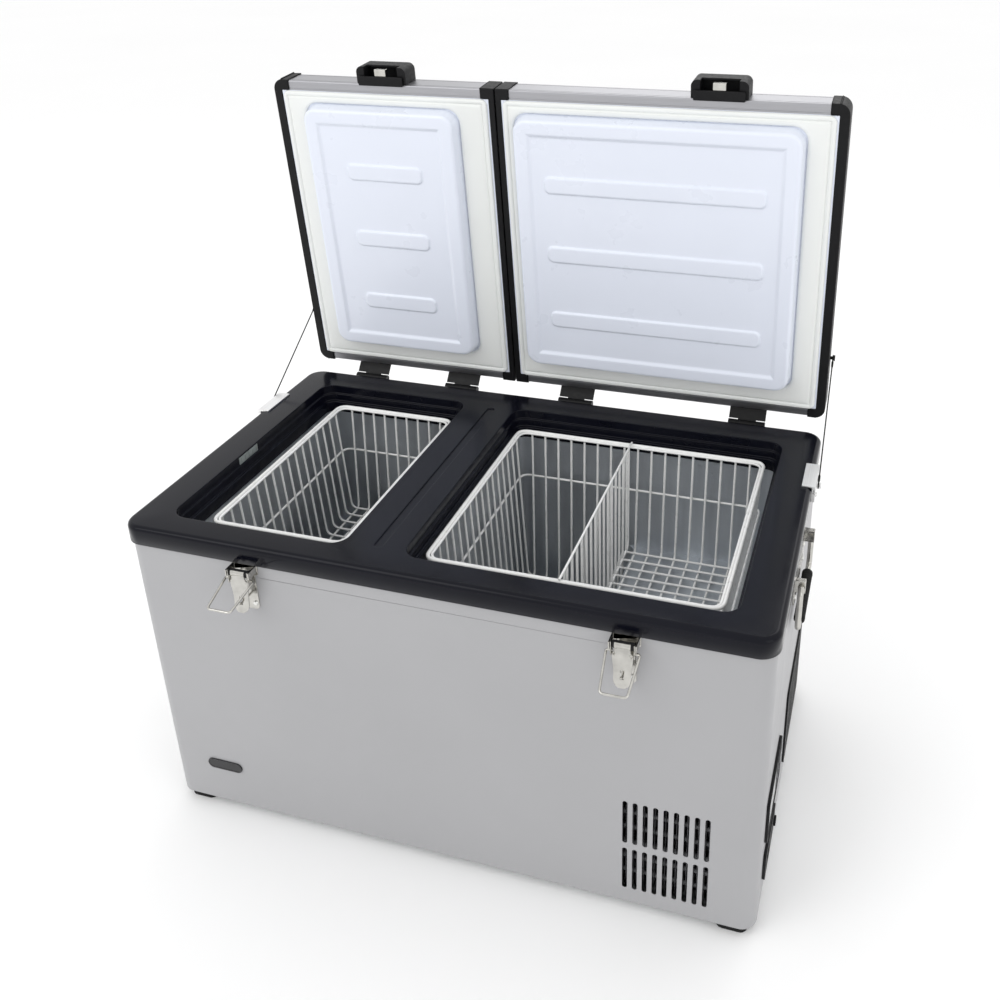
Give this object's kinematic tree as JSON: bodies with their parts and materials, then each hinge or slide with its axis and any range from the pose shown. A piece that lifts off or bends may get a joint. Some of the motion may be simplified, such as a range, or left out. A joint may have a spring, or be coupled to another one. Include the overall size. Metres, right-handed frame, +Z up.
{
  "type": "compressor cooler fridge",
  "caption": "Chest compressor cooler with two lift-up lids, latches, wire baskets, a stepped tub and a vented machine compartment.",
  "frame": {"origin": "on the floor under the middle of the cabinet", "axes": "+Z up, +X to the user's right when facing the front, +Y towards the hinged back"},
  "size_m": [0.897, 0.6392, 1.0094],
  "materials": {
    "cabinet_paint": "satin warm grey paint",
    "lid_paint": "satin grey paint",
    "galvanised_sheet": "zinc coated",
    "rim_plastic": "moulded, glossy navy black",
    "foot_rubber": "matt",
    "foam": "foamed polyurethane",
    "tub_aluminium": "stucco embossed",
    "coil_aluminium": "extruded",
    "compressor_black": "black enamel",
    "copper_tube": "drawn copper",
    "fan_plastic": "moulded black",
    "board": "circuit board",
    "panel_plastic": "fine texture black",
    "display": "smoked window",
    "button_plastic": "red",
    "rocker_plastic": "dark grey",
    "badge_face": "black with a bright edge",
    "lamp_lens": "frosted clear",
    "bracket_aluminium": "satin anodised",
    "cord_black": "coated wire cord",
    "hinge_black": "black coat",
    "plated_steel": "nickel plated",
    "screw_steel": "zinc plated",
    "grip_rubber": "matt",
    "wire_coating": "white coated steel wire",
    "bar_aluminium": "satin",
    "cap_plastic": "fine texture black",
    "liner_plastic": "vacuum formed white",
    "gasket_foam": "soft off-white seal"
  },
  "bodies": {
    "root": {"cabinet_shell": "cabinet_paint", "base_plate": "galvanised_sheet", "feet": "foot_rubber", "machine_bulkhead": "galvanised_sheet", "top_rim": "rim_plastic", "foam_insulation": "foam", "left_tub": "tub_aluminium", "right_tub": "tub_aluminium", "evaporator_coils": "coil_aluminium", "compressor": "compressor_black", "compressor_mounts": "galvanised_sheet", "condenser": "copper_tube", "fan_shroud": "fan_plastic", "refrigerant_lines": "copper_tube", "control_module": "board", "control_panel": "panel_plastic", "display_window": "display", "power_inlets": "panel_plastic", "side_grille": "panel_plastic", "badge": "badge_face", "interior_lamp": "lamp_lens", "stay_brackets": "bracket_aluminium", "left_stay_cord": "cord_black", "right_stay_cord": "cord_black", "rim_hinge_leaves": "hinge_black", "latch_bases": "plated_steel", "handle_plates": "plated_steel", "screws": "screw_steel"},
    "fan": {"fan_rotor": "fan_plastic"},
    "power_button_body": {"power_button": "button_plastic"},
    "rocker": {"temperature_rocker": "rocker_plastic"},
    "left_lever": {"left_latch_lever": "plated_steel"},
    "left_bail": {"left_latch_bail": "plated_steel"},
    "right_lever": {"right_latch_lever": "plated_steel"},
    "right_bail": {"right_latch_bail": "plated_steel"},
    "left_handle": {"left_handle_bail": "plated_steel", "left_handle_grip": "grip_rubber"},
    "right_handle": {"right_handle_bail": "plated_steel", "right_handle_grip": "grip_rubber"},
    "left_basket_body": {"left_basket": "wire_coating"},
    "right_basket_body": {"right_basket": "wire_coating"},
    "divider": {"basket_divider": "wire_coating"},
    "left_lid": {"left_lid_panel": "lid_paint", "left_lid_bars": "bar_aluminium", "left_lid_caps": "cap_plastic", "left_lid_liner": "liner_plastic", "left_lid_gasket": "gasket_foam", "left_lid_foam": "foam", "left_lid_hardware": "hinge_black", "left_keeper": "cap_plastic", "left_keeper_hook": "plated_steel"},
    "right_lid": {"right_lid_panel": "lid_paint", "right_lid_bars": "bar_aluminium", "right_lid_caps": "cap_plastic", "right_lid_liner": "liner_plastic", "right_lid_gasket": "gasket_foam", "right_lid_foam": "foam", "right_lid_hardware": "hinge_black", "right_keeper": "cap_plastic", "right_keeper_hook": "plated_steel"}
  },
  "joints": [
    {"name": "left_lid_hinge", "type": "hinge", "parent": "root", "child": "left_lid", "pos_m": [-0.25, 0.268, 0.475], "axis": [-1, 0, 0], "range_deg": [-85, 0], "deforming": ["left_stay_cord"]},
    {"name": "right_lid_hinge", "type": "hinge", "parent": "root", "child": "right_lid", "pos_m": [0.184, 0.268, 0.475], "axis": [-1, 0, 0], "range_deg": [-85, 0], "deforming": ["right_stay_cord"]},
    {"name": "left_lever_pivot", "type": "hinge", "parent": "root", "child": "left_lever", "pos_m": [-0.25, -0.266, 0.451], "axis": [-1, 0, 0], "range_deg": [0, 110]},
    {"name": "left_bail_pivot", "type": "hinge", "parent": "left_lever", "child": "left_bail", "pos_m": [-0.25, -0.266, 0.441], "axis": [1, 0, 0], "range_deg": [-115, 0]},
    {"name": "right_lever_pivot", "type": "hinge", "parent": "root", "child": "right_lever", "pos_m": [0.258, -0.266, 0.451], "axis": [-1, 0, 0], "range_deg": [0, 110]},
    {"name": "right_bail_pivot", "type": "hinge", "parent": "right_lever", "child": "right_bail", "pos_m": [0.258, -0.266, 0.441], "axis": [1, 0, 0], "range_deg": [-131, 0]},
    {"name": "left_handle_pivot", "type": "hinge", "parent": "root", "child": "left_handle", "pos_m": [-0.441, 0, 0.425], "axis": [0, 1, 0], "range_deg": [0, 90]},
    {"name": "right_handle_pivot", "type": "hinge", "parent": "root", "child": "right_handle", "pos_m": [0.441, 0, 0.425], "axis": [0, -1, 0], "range_deg": [0, 90]},
    {"name": "left_basket_lift", "type": "slide", "parent": "root", "child": "left_basket_body", "axis": [0, 0, 1], "range_m": [0, 0.2]},
    {"name": "right_basket_lift", "type": "slide", "parent": "root", "child": "right_basket_body", "axis": [0, 0, 1], "range_m": [0, 0.27]},
    {"name": "divider_lift", "type": "slide", "parent": "right_basket_body", "child": "divider", "axis": [0, 0, 1], "range_m": [0, 0.18]},
    {"name": "fan_spin", "type": "hinge", "parent": "root", "child": "fan", "pos_m": [0.311, -0.178, 0.118], "axis": [0, 1, 0], "continuous": true},
    {"name": "power_button_press", "type": "slide", "parent": "root", "child": "power_button_body", "axis": [-1, 0, 0], "range_m": [0, 0.0018], "stiffness_N_per_m": 400},
    {"name": "temperature_rocker_tilt", "type": "hinge", "parent": "root", "child": "rocker", "pos_m": [0.432, -0.11, 0.151], "axis": [0, 0, 1], "range_deg": [-4, 4], "stiffness_Nm_per_rad": 0.4}
  ]
}
